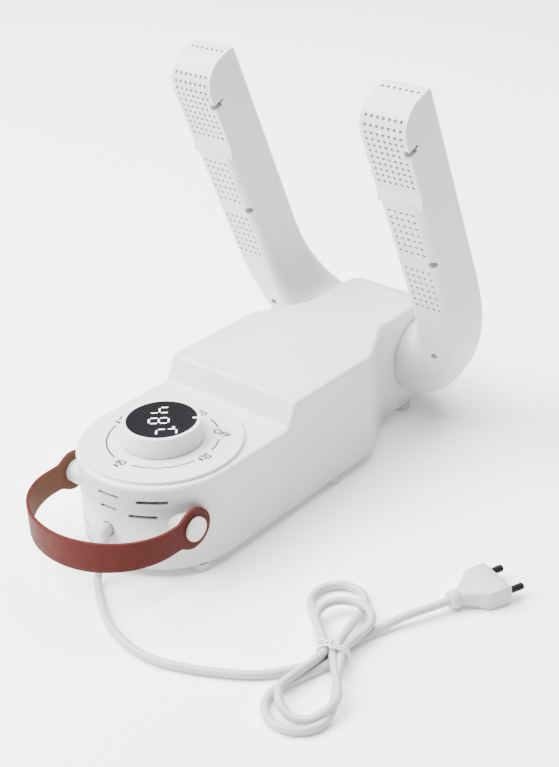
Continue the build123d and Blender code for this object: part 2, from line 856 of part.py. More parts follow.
with BuildPart() as terminal_block:
    with BuildSketch(Plane.XY.offset(board_top)):
        with Locations((terminal_at[0], knob_y + terminal_at[1])):
            Rectangle(terminal_size[0], terminal_size[1])
    extrude(amount=terminal_size[2])
write(terminal_block, "terminal_block")

# ---------------------------------------------------------------- folding arms
def arm_section(step, inset):
    """Plane, size and corner of one slice of the elbow, from the hub (0) to the shaft (1)."""
    swing = radians(90 * step)
    inner_x = hub_start + (arm_inner - hub_start) * sin(swing)
    inner_z = shaft_start - (shaft_start - hub_radius) * cos(swing)
    outer_x = hub_start + (arm_inner + arm_width - hub_start) * sin(swing)
    outer_z = shaft_start - (shaft_start + hub_radius) * cos(swing)
    span = hypot(outer_x - inner_x, outer_z - inner_z)
    ease = sin(swing) ** 2
    front = hub_radius + (arm_front - hub_radius) * ease
    back = hub_radius + (arm_back - hub_radius) * ease
    corner = hub_radius - 0.3 + (shaft_round - hub_radius + 0.3) * ease
    place = Plane(
        origin=((inner_x + outer_x) / 2, (back - front) / 2, (inner_z + outer_z) / 2),
        x_dir=(outer_x - inner_x, 0, outer_z - inner_z),
        z_dir=(inner_z - outer_z, 0, outer_x - inner_x),
    )
    return place, span - 2 * inset, front + back - 2 * inset, corner - inset


def arm_head(inset):
    """Wide flat head of the arm with a rounded tip, moved inwards by inset."""
    with BuildPart() as head:
        with BuildSketch(leaning(Plane.YZ.offset(arm_inner + inset))):
            with BuildLine():
                FilletPolyline(
                    (arm_back - inset, shaft_top - 1),
                    (arm_back - inset, arm_length - inset),
                    (inset - head_front, arm_length - inset),
                    (inset - head_front, head_start),
                    (inset - arm_front + 1, shaft_top + 1),
                    (inset - arm_front + 1, shaft_top - 1),
                    radius=[head_back_round - inset, head_front_round - inset, 1, 1],
                )
                Line((inset - arm_front + 1, shaft_top - 1), (arm_back - inset, shaft_top - 1))
            make_face()
        extrude(amount=arm_width - 2 * inset)
        # only the two rear edges are rounded
        reach = head_front + 3 * shaft_round
        with BuildSketch(leaning(Plane.XY.offset(shaft_top - 1))):
            with Locations((arm_middle, (arm_back - inset - reach) / 2)):
                RectangleRounded(
                    arm_width - 2 * inset, arm_back - inset + reach, shaft_round - inset
                )
        extrude(amount=arm_length, mode=Mode.INTERSECT)
    return head.part


def arm_body(inset):
    """The whole arm on the +X side as one solid, moved inwards by inset."""
    with BuildPart() as body:
        for step in range(elbow_steps + 1):
            place, span, depth, corner = arm_section(step / elbow_steps, inset)
            with BuildSketch(leaning(place)):
                RectangleRounded(span, depth, min(corner, span / 2 - 0.1, depth / 2 - 0.1))
        loft()
        with BuildSketch(leaning(Plane.XY.offset(shaft_start))):
            with Locations((arm_middle, (arm_back - arm_front) / 2)):
                RectangleRounded(
                    arm_width - 2 * inset, arm_front + arm_back - 2 * inset, shaft_round - inset
                )
        extrude(amount=shaft_top - shaft_start)
        add(arm_head(inset))
    return body.part


arm_solid = arm_body(0)
arm_hollow = arm_body(arm_wall)
collar_inner_end = hub_start - collar_reach
collar_flange_x = hub_start + arm_wall
ring_x = flank_inside - bush_flange - ring_gap


def screw_spots(side):
    """X and height of the screws of an arm that is drawn on the +X side."""
    spots = [(arm_middle + side * offset_x, rise) for offset_x, rise in arm_screws_at]
    return spots + [(elbow_screw_across, elbow_screw_rise)]


def arm_skin():
    """Hollow arm on the +X side, before it is parted into two shells."""
    with BuildPart() as skin:
        add(arm_solid)
        add(arm_hollow, mode=Mode.SUBTRACT)
        # opening for the collar
        with BuildSketch(leaning(Plane.YZ.offset(hub_start - 1))):
            Circle(collar_radius)
        extrude(amount=arm_wall + 2, mode=Mode.SUBTRACT)
        # perforations of the shaft and the head
        with BuildSketch(leaning(Plane.XZ.offset(arm_front + 1))):
            for start in shaft_field_starts:
                middle = start + (shaft_rows - 1) * shaft_row_pitch / 2
                with Locations((arm_middle, middle)):
                    with GridLocations(shaft_column_pitch, shaft_row_pitch, shaft_columns, shaft_rows):
                        Circle(hole_radius)
            middle = head_first_row + (head_rows - 1) * head_row_pitch / 2
            with Locations((arm_middle, middle)):
                with GridLocations(head_column_pitch, head_row_pitch, head_columns, head_rows):
                    Circle(hole_radius)
        extrude(amount=-(arm_front + 1), mode=Mode.SUBTRACT)
        # the row in the tip
        with BuildSketch(leaning(Plane.XY.offset(arm_length + 1))):
            with Locations((arm_middle, tip_row_back)):
                with GridLocations(head_column_pitch, 0, head_columns, 1):
                    Circle(hole_radius)
        extrude(amount=-head_front_round, mode=Mode.SUBTRACT)
    return skin.part


arm_skin_part = arm_skin()


def shell_front(side):
    """Perforated front half of an arm with its screw pockets."""
    with BuildPart() as shell:
        add(arm_skin_part)
        with BuildSketch(leaning(Plane.XZ.offset(arm_split))):
            with Locations(*screw_spots(side)):
                Circle(arm_boss_radius)
        extrude(amount=hub_radius)
        add(arm_solid, mode=Mode.INTERSECT)
        with BuildSketch(leaning(Plane.XZ.offset(arm_split))):
            with Locations((0, arm_length / 2)):
                Rectangle(3 * arm_length, 3 * arm_length)
        extrude(amount=-2 * hub_radius, mode=Mode.SUBTRACT)
        with BuildSketch(leaning(Plane.XZ.offset(arm_split + arm_pocket_floor))):
            with Locations(*screw_spots(side)):
                Circle(arm_pocket_radius)
        extrude(amount=2 * hub_radius, mode=Mode.SUBTRACT)
        with BuildSketch(leaning(Plane.XZ.offset(arm_split - 1))):
            with Locations(*screw_spots(side)):
                Circle(arm_screw_radius)
        extrude(amount=arm_pocket_floor + 2, mode=Mode.SUBTRACT)
    return shell.part


def shell_back(side):
    """Plain back half of an arm with its screw bosses."""
    with BuildPart() as shell:
        add(arm_skin_part)
        with BuildSketch(leaning(Plane.XZ.offset(arm_split))):
            with Locations(*screw_spots(side)):
                Circle(arm_boss_radius)
        extrude(amount=-arm_split - hub_radius)
        add(arm_solid, mode=Mode.INTERSECT)
        with BuildSketch(leaning(Plane.XZ.offset(arm_split))):
            with Locations((0, arm_length / 2)):
                Rectangle(3 * arm_length, 3 * arm_length)
        extrude(amount=2 * hub_radius, mode=Mode.SUBTRACT)
        with BuildSketch(leaning(Plane.XZ.offset(arm_split + 1))):
            with Locations(*screw_spots(side)):
                Circle(arm_screw_radius)
        extrude(amount=-arm_screw_depth - 1, mode=Mode.SUBTRACT)
    return shell.part


with BuildPart() as right_arm_front:
    add(shell_front(1))
write(right_arm_front, "right_arm_front")

with BuildPart() as right_arm_back:
    add(shell_back(1))
write(right_arm_back, "right_arm_back")

with BuildPart() as left_arm_front:
    mirror(shell_front(-1), about=Plane.YZ)
write(left_arm_front, "left_arm_front")

with BuildPart() as left_arm_back:
    mirror(shell_back(-1), about=Plane.YZ)
write(left_arm_back, "left_arm_back")


def arm_screws(side):
    """Three screws of one arm, heads in the pockets of its front shell."""
    with BuildPart() as screws:
        with BuildSketch(leaning(Plane.XZ.offset(arm_split + arm_pocket_floor))):
            with Locations(*screw_spots(side)):
                Circle(arm_screw_head_radius)
        extrude(amount=arm_screw_head)
        with BuildSketch(leaning(Plane.XZ.offset(arm_split + arm_pocket_floor))):
            with Locations(*screw_spots(side)):
                Circle(arm_screw_radius)
        extrude(amount=-arm_pocket_floor - arm_screw_depth + 1)
    return screws.part


with BuildPart() as right_arm_screws:
    add(arm_screws(1))
write(right_arm_screws, "right_arm_screws")

with BuildPart() as left_arm_screws:
    mirror(arm_screws(-1), about=Plane.YZ)
write(left_arm_screws, "left_arm_screws")

# hollow collars: clamped in the hubs, turning in the bushes of the casing
with BuildPart() as right_arm_collar:
    with BuildSketch(leaning(Plane.YZ.offset(collar_inner_end))):
        Circle(collar_radius)
    extrude(amount=collar_flange_x - collar_inner_end)
    with BuildSketch(leaning(Plane.YZ.offset(collar_flange_x))):
        Circle(collar_flange_radius)
    extrude(amount=collar_flange)
    with BuildSketch(leaning(Plane.YZ.offset(collar_inner_end))):
        Circle(collar_radius - collar_wall)
    extrude(amount=collar_reach + arm_wall + collar_flange, mode=Mode.SUBTRACT)
    with BuildSketch(leaning(Plane.YZ.offset(ring_x - ring_width))):
        Circle(collar_radius + 1)
        Circle(collar_radius - groove_depth, mode=Mode.SUBTRACT)
    extrude(amount=ring_width, mode=Mode.SUBTRACT)
write(right_arm_collar, "right_arm_collar")

with BuildPart() as left_arm_collar:
    mirror(right_arm_collar.part, about=Plane.YZ)
write(left_arm_collar, "left_arm_collar")

# split rings that keep the collars in the casing
with BuildPart() as right_arm_ring:
    with BuildSketch(leaning(Plane.YZ.offset(ring_x - ring_width))):
        Circle(ring_radius)
        Circle(collar_radius - groove_depth, mode=Mode.SUBTRACT)
        with Locations((0, -ring_radius)):
            Rectangle(ring_width * 3, 4 * ring_width + groove_depth, mode=Mode.SUBTRACT)
    extrude(amount=ring_width)
write(right_arm_ring, "right_arm_ring")

with BuildPart() as left_arm_ring:
    mirror(right_arm_ring.part, about=Plane.YZ)
write(left_arm_ring, "left_arm_ring")

with BuildPart() as right_bush:
    with BuildSketch(Plane.YZ.offset(flank_inside - bush_flange)):
        with Locations((pivot_y, pivot_z)):
            Circle(bush_flange_radius)
    extrude(amount=bush_flange)
    with BuildSketch(Plane.YZ.offset(flank_inside - bush_flange)):
        with Locations((pivot_y, pivot_z)):
            Circle(bush_radius)
    extrude(amount=bush_flange + wall)
    with BuildSketch(Plane.YZ.offset(flank_inside - 2 * bush_flange)):
        with Locations((pivot_y, pivot_z)):
            Circle(collar_radius + running_clearance)
    extrude(amount=4 * bush_flange + wall, mode=Mode.SUBTRACT)
write(right_bush, "right_bush")

with BuildPart() as left_bush:
    mirror(right_bush.part, about=Plane.YZ)
write(left_bush, "left_bush")

# ---------------------------------------------------------------- mains lead
gland_start = Vector(gland_across, knob_y - body_half_width - gland_nose, underside + gland_height)
gland_along = Vector(*gland_droop).normalized()
gland_tip = gland_start + gland_along * gland_length

with BuildPart() as cord_gland:
    with BuildSketch(across_y(knob_y - body_half_width + wall + gland_flange_inset)):
        with Locations((-gland_across, underside + gland_height)):
            Circle(gland_flange_radius)
    extrude(amount=gland_flange)
    with BuildSketch(across_y(gland_start.Y)):
        with Locations((-gland_across, underside + gland_height)):
            Circle(gland_radius)
    extrude(amount=knob_y - body_half_width + wall + gland_flange_inset - gland_start.Y)
    with Locations(gland_start):
        Sphere(gland_radius)
    with BuildSketch(Plane(origin=gland_start, z_dir=gland_along)):
        Circle(gland_radius)
    with BuildSketch(Plane(origin=gland_tip, z_dir=gland_along)):
        Circle(gland_tip_radius)
    loft()
write(cord_gland, "cord_gland")


def bend_radii(points):
    """Radius of each bend of a route, as large as its shorter run allows."""
    radii = []
    for before, here, after in zip(points, points[1:], points[2:]):
        arriving = here - before
        leaving = after - here
        half_turn = radians(arriving.get_angle(leaving)) / 2
        radii.append(0.45 * min(arriving.length, leaving.length) / tan(half_turn))
    return radii


lead_points = [gland_tip] + [Vector(x, knob_y + y, cord_diameter / 2) for x, y in lead_route]
tail_points = [Vector(x, knob_y + y, cord_diameter / 2 + z) for x, y, z in tail_route]
plug_along = Vector(*plug_direction).normalized()
plug_neck_at = Vector(plug_at[0], knob_y + plug_at[1], plug_thickness / 2)
tail_points.append(plug_neck_at)

with BuildPart() as cord_hank:
    hank_place = Plane(
        origin=(hank_at[0], knob_y + hank_at[1], hank_lift),
        x_dir=(hank_direction[0], hank_direction[1], 0),
        z_dir=(0, 0, 1),
    )
    with BuildSketch(hank_place):
        for along, aside, half_length, half_width in hank_lobes:
            with Locations((along, aside)):
                Ellipse(half_length, half_width)
        Rectangle(hank_neck_length, hank_neck_width)
    extrude(amount=hank_height)
write(cord_hank, "cord_hank")

with BuildPart() as cord_tie:
    with BuildSketch(Plane(origin=hank_place.origin + Vector(0, 0, hank_height / 2),
                           x_dir=hank_place.y_dir, z_dir=hank_place.x_dir)):
        Rectangle(
            hank_neck_width + 2 * tie_clearance + 2 * tie_wall,
            hank_height + 2 * tie_clearance + 2 * tie_wall,
        )
        Rectangle(
            hank_neck_width + 2 * tie_clearance, hank_height + 2 * tie_clearance,
            mode=Mode.SUBTRACT,
        )
    extrude(amount=tie_width / 2, both=True)
write(cord_tie, "cord_tie")

lead_radii = bend_radii(lead_points)
tail_radii = bend_radii(tail_points)
print("lead bends", [round(radius, 1) for radius in lead_radii])
print("tail bends", [round(radius, 1) for radius in tail_radii])

with BuildPart() as cord_lead:
    with BuildLine():
        FilletPolyline(*lead_points, radius=lead_radii)
    with BuildSketch(Plane(origin=gland_tip, z_dir=gland_along)):
        Circle(cord_diameter / 2)
    sweep()
    print("lead", cord_lead.part.volume)
    add(cord_hank.part, mode=Mode.SUBTRACT)
write(cord_lead, "cord_lead")

with BuildPart() as cord_tail:
    with BuildLine():
        FilletPolyline(*tail_points, radius=tail_radii)
    with BuildSketch(Plane(origin=tail_points[0], z_dir=tail_points[1] - tail_points[0])):
        Circle(cord_diameter / 2)
    sweep()
    print("tail", cord_tail.part.volume)
    add(cord_hank.part, mode=Mode.SUBTRACT)
write(cord_tail, "cord_tail")

# ---------------------------------------------------------------- plug
def plug_slice(along, across, thickness):
    """Flat slice of the plug with bevelled sides, this far from its neck."""
    place = Plane(
        origin=plug_neck_at + plug_along * along,
        x_dir=(plug_along.Y, -plug_along.X, 0),
        z_dir=plug_along,
    )
    with BuildSketch(place) as section:
        Rectangle(across, thickness)
        chamfer(section.vertices(), plug_bevel)
    return section.sketch


with BuildPart() as plug_body:
    add(plug_slice(plug_shoulder, plug_shoulder_width, plug_thickness))
    add(plug_slice(plug_length, plug_width, plug_thickness))
    loft()
    add(plug_slice(plug_collar_length, plug_neck_width, plug_neck_thickness))
    add(plug_slice(plug_shoulder, plug_shoulder_width, plug_thickness))
    loft()
    with BuildSketch(Plane(origin=plug_neck_at, z_dir=plug_along)):
        Circle(plug_collar_radius)
    extrude(amount=plug_collar_length + 1)
    with BuildSketch(Plane(origin=plug_neck_at + plug_along * plug_length,
                           x_dir=(plug_along.Y, -plug_along.X, 0), z_dir=plug_along)):
        with GridLocations(plug_pin_spacing, 0, 2, 1):
            Circle(plug_pin_radius)
    extrude(amount=-plug_pin_seat, mode=Mode.SUBTRACT)
write(plug_body, "plug_body")

with BuildPart() as plug_pins:
    with BuildSketch(Plane(origin=plug_neck_at + plug_along * (plug_length - plug_pin_seat),
                           x_dir=(plug_along.Y, -plug_along.X, 0), z_dir=plug_along)):
        with GridLocations(plug_pin_spacing, 0, 2, 1):
            Circle(plug_pin_radius)
    extrude(amount=plug_pin_seat + plug_pin_length)
    fillet(plug_pins.faces().sort_by(lambda face: face.center().dot(plug_along))[-2:].edges(), plug_pin_round)
write(plug_pins, "plug_pins")
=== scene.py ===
# Portable shoe dryer: round-fronted heater box, timer knob, leather strap, two folding arms, mains lead.
import math

import bmesh
import bpy
from mathutils import Euler, Matrix, Vector


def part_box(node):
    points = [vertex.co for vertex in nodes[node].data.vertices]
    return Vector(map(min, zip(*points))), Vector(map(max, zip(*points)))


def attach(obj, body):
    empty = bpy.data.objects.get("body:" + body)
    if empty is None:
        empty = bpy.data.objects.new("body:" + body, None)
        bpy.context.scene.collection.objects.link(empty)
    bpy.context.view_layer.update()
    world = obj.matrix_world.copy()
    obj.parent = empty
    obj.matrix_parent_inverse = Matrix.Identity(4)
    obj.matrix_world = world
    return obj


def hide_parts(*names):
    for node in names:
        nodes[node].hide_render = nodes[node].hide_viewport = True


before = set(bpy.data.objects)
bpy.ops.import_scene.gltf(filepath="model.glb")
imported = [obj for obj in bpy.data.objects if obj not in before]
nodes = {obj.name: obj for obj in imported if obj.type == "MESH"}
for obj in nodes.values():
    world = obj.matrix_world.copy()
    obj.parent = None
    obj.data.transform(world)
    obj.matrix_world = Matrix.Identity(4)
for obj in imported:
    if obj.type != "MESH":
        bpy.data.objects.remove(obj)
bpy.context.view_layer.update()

# ---- Camera and studio ----------------------------------------------------------------------
# A plain pale floor under soft light: a broad key from the front left, a wide soft box overhead
# and a weak even surround.
camera = bpy.data.cameras.new("studio_camera")
camera.lens = 65.07
camera.sensor_width = 36.0
camera.clip_end = 20.0
camera_stand = bpy.data.objects.new("studio_camera", camera)
bpy.context.scene.collection.objects.link(camera_stand)
camera_place = (0.5016, -0.53315, 0.4710)
camera_tilt, camera_roll, camera_pan = 60.789, 2.175, 40.748
camera_turn = Euler([math.radians(angle) for angle in (camera_tilt, camera_roll, camera_pan)])
camera_stand.matrix_world = Matrix.Translation(camera_place) @ camera_turn.to_matrix().to_4x4()
bpy.context.scene.camera = camera_stand


def area_light(name, place, aim, power, across):
    """A square soft box at place, facing aim."""
    lamp = bpy.data.lights.new(name, "AREA")
    lamp.energy = power
    lamp.size = across
    stand = bpy.data.objects.new(name, lamp)
    bpy.context.scene.collection.objects.link(stand)
    facing = (Vector(aim) - Vector(place)).to_track_quat("-Z", "Y")
    stand.matrix_world = Matrix.Translation(place) @ facing.to_matrix().to_4x4()


area_light("key", (-1.1, -1.0, 1.5), (0, 0, 0.08), 185.0, 1.7)
area_light("top", (-0.3, 0.2, 1.8), (0, 0, 0), 155.0, 2.2)

surround = bpy.data.worlds.new("surround")
surround.use_nodes = True
surround.node_tree.nodes["Background"].inputs["Color"].default_value = (0.97, 0.98, 1.0, 1)
surround.node_tree.nodes["Background"].inputs["Strength"].default_value = 0.1
bpy.context.scene.world = surround


def take_mesh(name, shape):
    """A bmesh that is finished becomes an object, with its place kept in its mesh."""
    mesh = bpy.data.meshes.new(name)
    shape.to_mesh(mesh)
    shape.free()
    piece = bpy.data.objects.new(name, mesh)
    bpy.context.scene.collection.objects.link(piece)
    return piece


class Wire:
    """A socket of a shader tree; sums and products on wires add Math nodes."""

    def __init__(self, tree, socket=None):
        self.tree = tree
        self.socket = socket

    def node(self, kind, settings=None, inputs=None, out=0):
        made = self.tree.nodes.new(kind)
        for key, value in (settings or {}).items():
            setattr(made, key, value)
        for key, value in (inputs or {}).items():
            socket = made.inputs[key]
            if isinstance(value, Wire):
                self.tree.links.new(value.socket, socket)
            elif isinstance(value, (tuple, list)) and len(value) == 3 and socket.type == "RGBA":
                socket.default_value = (*value, 1)
            else:
                socket.default_value = value
        return Wire(self.tree, made.outputs[out])

    def maths(self, operation, first, second):
        return self.node("ShaderNodeMath", {"operation": operation}, {0: first, 1: second})

    def __add__(self, other):
        return self.maths("ADD", self, other)

    def __mul__(self, other):
        return self.maths("MULTIPLY", self, other)

    __radd__ = __add__
    __rmul__ = __mul__

    def mix(self, first, second):
        """Colour that goes from first to second with this wire."""
        return self.node("ShaderNodeMix", {"data_type": "RGBA"}, {0: self, 6: first, 7: second}, out=2)


def new_finish(name, **constants):
    """An empty material: its tree as a wire, and its shader with the constant sockets set."""
    finish = bpy.data.materials.new(name)
    finish.use_nodes = True
    tree = finish.node_tree
    shader = tree.nodes["Principled BSDF"]
    for key, value in constants.items():
        shader.inputs[key.replace("_", " ")].default_value = value
    return finish, Wire(tree), shader


def feed(wire, shader, **links):
    """Links wires to the shader's sockets."""
    for key, value in links.items():
        wire.tree.links.new(value.socket, shader.inputs[key.replace("_", " ")])


def fine_grain(wire, scale, depth):
    """Normal of a surface with a fine cast or moulded texture."""
    place = wire.node("ShaderNodeTexCoord", out=3)
    grain = wire.node("ShaderNodeTexNoise", {}, {"Vector": place, "Scale": scale, "Detail": 3.0})
    return wire.node("ShaderNodeBump", {}, {"Strength": 0.35, "Distance": depth, "Height": grain})


def plastic_finish(name, tint, rough, grain_scale=2600.0, grain_depth=0.00004, drift=0.02, **constants):
    """Moulded plastic: a faint cloud in the tint, a slightly uneven polish and a fine spark grain."""
    finish, wire, shader = new_finish(name, **constants)
    place = wire.node("ShaderNodeTexCoord", out=3)
    cloud = wire.node("ShaderNodeTexNoise", {}, {"Vector": place, "Scale": 22.0, "Detail": 2.0})
    smudge = wire.node("ShaderNodeTexNoise", {}, {"Vector": place, "Scale": 90.0, "Detail": 4.0})
    dark = tuple(max(0.0, part * (1 - drift)) for part in tint)
    light = tuple(min(1.0, part * (1 + drift)) for part in tint)
    feed(
        wire, shader,
        Base_Color=cloud.mix(dark, light),
        Roughness=smudge * 0.14 + (rough - 0.07),
        Normal=fine_grain(wire, grain_scale, grain_depth),
    )
    return finish


def dress(names, finish):
    """Gives the kept CAD nodes a finish."""
    for name in names:
        nodes[name].data.materials.clear()
        nodes[name].data.materials.append(finish)


floor_shape = bmesh.new()
bmesh.ops.create_grid(floor_shape, x_segments=1, y_segments=1, size=6.0)
studio_floor = take_mesh("studio_floor", floor_shape)
studio_floor.location.z = -0.0002
studio_floor.data.materials.append(plastic_finish("floor_paper", (0.92, 0.92, 0.92), 0.8, 40.0, 0.0001, 0.004,
                                                  Emission_Color=(1, 1, 1, 1), Emission_Strength=0.25))

# ---- Mains lead -----------------------------------------------------------------------------
# White flexible lead, 4.6 mm across, moulded into its relief at one end and its plug at the other.
# It lies on the floor, and its spare length is folded into loose loops held by a wire tie.
knob_y = -0.07625
lead_width = 0.0046
lead_rise = 0.0027
upper_row = 0.0074

tie_centre = Vector((0.1505, knob_y - 0.0345, 0.0062))
tie_along = Vector((0.45, -0.893, 0)).normalized()
tie_side = Vector((0.893, 0.45, 0)).normalized()
tie_half_reach = 0.004

lead_route = [Vector((across, knob_y + along, rise)) for across, along, rise in (
    (0.0052, -0.0612, 0.0100), (0.0056, -0.0626, 0.0066), (0.0066, -0.0650, lead_rise),
    (0.0145, -0.0710, lead_rise), (0.0280, -0.0808, lead_rise), (0.0443, -0.0893, lead_rise),
    (0.0620, -0.0934, lead_rise), (0.0800, -0.0930, lead_rise), (0.0970, -0.0866, lead_rise),
    (0.1170, -0.0762, lead_rise), (0.1300, -0.0670, lead_rise), (0.1380, -0.0570, lead_rise),
)]


def through_tie(offset, rise, upwards):
    """The two points of a strand on either side of the tie, this far to its right."""
    ends = [tie_centre + tie_side * offset + tie_along * reach * upwards
            for reach in (tie_half_reach, -tie_half_reach)]
    lead_route.extend(Vector((end.x, end.y, rise)) for end in ends)


def fold(across, along, reach, first, last, rises):
    """One fold of the hank: points round an arc, one for each height in rises."""
    for number, rise in enumerate(rises):
        turn = math.radians(first + (last - first) * number / (len(rises) - 1))
        place = (across + reach * math.cos(turn), knob_y + along + reach * math.sin(turn), rise)
        lead_route.append(Vector(place))


through_tie(-0.0048, lead_rise, 1)
fold(0.1238, 0.0028, 0.0150, -131, -349, [lead_rise] * 11)
through_tie(0.0003, upper_row, -1)
fold(0.1605, -0.0665, 0.0150, 43, -182,
     [upper_row, upper_row, 0.0072, 0.0058, 0.0036, 0.0030, 0.0036, 0.0058, 0.0072, upper_row, upper_row])
through_tie(-0.0044, upper_row, 1)
fold(0.1384, -0.0104, 0.0150, -130, -356, [upper_row] * 5 + [0.0068, 0.0068] + [upper_row] * 4)
through_tie(0.0048, upper_row, -1)
fold(0.1595, -0.0725, 0.0174, 32, -193, [0.0060, 0.0036, 0.0028] + [lead_rise] * 8)
through_tie(0.0002, lead_rise, 1)
lead_route += [Vector((across, knob_y + along, rise)) for across, along, rise in (
    (0.1500, -0.0215, 0.0027), (0.1522, -0.0125, 0.0028), (0.1555, -0.0020, 0.0032), (0.1590, 0.0080, 0.0047),
    (0.1644, 0.0186, 0.0059), (0.1693, 0.0282, 0.0060), (0.1728, 0.0373, 0.0060),
)]

lead_line = bpy.data.curves.new("mains_lead", "CURVE")
lead_line.dimensions = "3D"
lead_line.bevel_depth = lead_width / 2
lead_line.bevel_resolution = 5
lead_line.resolution_u = 10
lead_line.use_fill_caps = True
strand = lead_line.splines.new("NURBS")
strand.points.add(len(lead_route) - 1)
for point, place in zip(strand.points, lead_route):
    point.co = (*place, 1)
strand.use_endpoint_u = True
strand.order_u = 3
mains_lead = bpy.data.objects.new("mains_lead", lead_line)
bpy.context.scene.collection.objects.link(mains_lead)
lead_skin = plastic_finish("lead_sheath", (0.42, 0.42, 0.425), 0.42, 1500.0, 0.00005, 0.03)
mains_lead.data.materials.append(lead_skin)
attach(mains_lead, "casing")
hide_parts("cord_lead", "cord_hank", "cord_tail")

# ---- Strain relief --------------------------------------------------------------------------
# Soft tapered sleeve with shallow ribs, moulded on the lead and clamped in the front wall.
def ring_stack(name, rings, segments):
    """A closed skin through a stack of rings: each has a place, two half sizes and a squareness."""
    shape = bmesh.new()
    loops = []
    for place, half_width, half_depth, square in rings:
        loop = bmesh.ops.create_circle(shape, segments=segments, radius=1.0)["verts"]
        for vert in loop:
            across, up = vert.co.x, vert.co.y
            vert.co = place @ Vector((half_width * math.copysign(abs(across) ** square, across),
                                      half_depth * math.copysign(abs(up) ** square, up), 0))
        loops.append(shape.edges[:][-segments:])
    for lower, upper in zip(loops, loops[1:]):
        bmesh.ops.bridge_loops(shape, edges=lower + upper)
    bmesh.ops.holes_fill(shape, edges=loops[0] + loops[-1], sides=0)
    bmesh.ops.recalc_face_normals(shape, faces=shape.faces)
    return take_mesh(name, shape)


def facing(place, heading):
    """Matrix at place whose Z looks along heading."""
    return Matrix.Translation(place) @ heading.to_track_quat("Z", "Y").to_matrix().to_4x4()


relief_knee = Vector((0.003, knob_y - 0.0526, 0.0285))
relief_run = Vector((0.10, -0.38, -0.92)).normalized()
relief_length = 0.020
relief_root_size = 0.0037
relief_tip_size = 0.0030
straight_out = Vector((0, -1, 0))
relief_root = relief_knee + Vector((0, 0.005, 0))
relief_knee_reach = 0.001
relief_groove = 0.0004
relief_rings = [(facing(relief_root, straight_out), relief_root_size, relief_root_size, 1)]
for bend in (0.0, 0.25, 0.5, 0.75, 1.0):
    heading = straight_out.lerp(relief_run, bend).normalized()
    place = facing(relief_knee + heading * relief_knee_reach * bend, heading)
    relief_rings.append((place, relief_root_size, relief_root_size, 1))
relief_steps = 26
for step in range(3, relief_steps + 1):
    share = step / relief_steps
    size = relief_root_size + (relief_tip_size - relief_root_size) * share
    if step < relief_steps - 1 and step % 3 == 0:
        size -= relief_groove
    place = facing(relief_knee + relief_run * relief_length * share, relief_run)
    relief_rings.append((place, size, size, 1))
strain_relief = ring_stack("strain_relief", relief_rings, 28)
strain_relief.data.shade_smooth()
strain_relief.data.materials.append(plastic_finish("relief_rubber", (0.44, 0.44, 0.44), 0.5, 1500.0, 0.00005))
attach(strain_relief, "casing")
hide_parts("cord_gland")

# ---- Wire tie -------------------------------------------------------------------------------
# Thin plastic-coated wire wound round the bundle, with its two ends twisted together on top.
tie_line = bpy.data.curves.new("wire_tie", "CURVE")
tie_line.dimensions = "3D"
tie_wire_radius = 0.0007
tie_half_width = 0.0088
tie_half_height = 0.0055
tie_line.bevel_depth = tie_wire_radius
tie_line.bevel_resolution = 2
tie_line.resolution_u = 6
tie_spline = tie_line.splines.new("NURBS")
tie_points = []
for step in range(22):
    angle = math.radians(70 + step * 36)
    tie_rise = Vector((0, 0, tie_half_height * math.sin(angle)))
    tie_points.append(tie_centre + tie_side * tie_half_width * math.cos(angle) + tie_rise
                      + tie_along * (0.0002 * step - 0.002))
for step in range(7):
    angle = math.radians(120 * step)
    twist = tie_side * (0.0005 + 0.0016 * step) + tie_along * (0.002 + 0.0009 * math.cos(angle))
    twist_rise = Vector((0, 0, 0.0066 + 0.0008 * math.sin(angle) - 0.0004 * step))
    tie_points.append(tie_centre - twist + twist_rise)
tie_spline.points.add(len(tie_points) - 1)
for point, place in zip(tie_spline.points, tie_points):
    point.co = (*place, 1)
tie_spline.use_endpoint_u = True
tie_spline.order_u = 3
wire_tie = bpy.data.objects.new("wire_tie", tie_line)
bpy.context.scene.collection.objects.link(wire_tie)
wire_tie.data.materials.append(plastic_finish("tie_coating", (0.7, 0.7, 0.7), 0.4, 2000.0, 0.00003))
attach(wire_tie, "casing")
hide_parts("cord_tie")

# ---- Plug -----------------------------------------------------------------------------------
# Flat two-pin plug in one moulding: a round collar where the lead enters, a waisted grip, a wide
# face; the pins are stepped rods, sleeve and tip both in one black finish.
plug_neck = Vector((0.1725, knob_y + 0.0365, 0.006))
plug_run = Vector((0.36, 0.933, 0)).normalized()
plug_side = Vector((plug_run.y, -plug_run.x, 0))
plug_turn = Matrix((plug_side, Vector((0, 0, 1)), plug_run)).transposed()
plug_place = Matrix.Translation(plug_neck) @ plug_turn.to_4x4()
# along, half width, half thickness, squareness
plug_stations = [
    (0.0000, 0.0036, 0.0036, 1.0), (0.0003, 0.0046, 0.0046, 1.0), (0.0012, 0.0052, 0.0051, 1.0),
    (0.0034, 0.0053, 0.0052, 1.0), (0.0050, 0.0050, 0.0049, 1.0), (0.0056, 0.0043, 0.0042, 1.0),
    (0.0064, 0.0045, 0.0043, 0.9), (0.0085, 0.0054, 0.0045, 0.6), (0.0115, 0.0071, 0.0048, 0.4),
    (0.0150, 0.0096, 0.0053, 0.28), (0.0172, 0.0117, 0.0057, 0.22), (0.0182, 0.0123, 0.0058, 0.2),
    (0.0220, 0.0128, 0.0059, 0.18), (0.0262, 0.0132, 0.0059, 0.18), (0.0308, 0.0134, 0.0058, 0.18),
    (0.0315, 0.0129, 0.0053, 0.18),
]
plug_rings = [(plug_place @ Matrix.Translation((0, 0, along)), half_width, half_thickness, square)
              for along, half_width, half_thickness, square in plug_stations]
plug_moulding = ring_stack("plug_moulding", plug_rings, 40)
plug_moulding.data.shade_smooth()
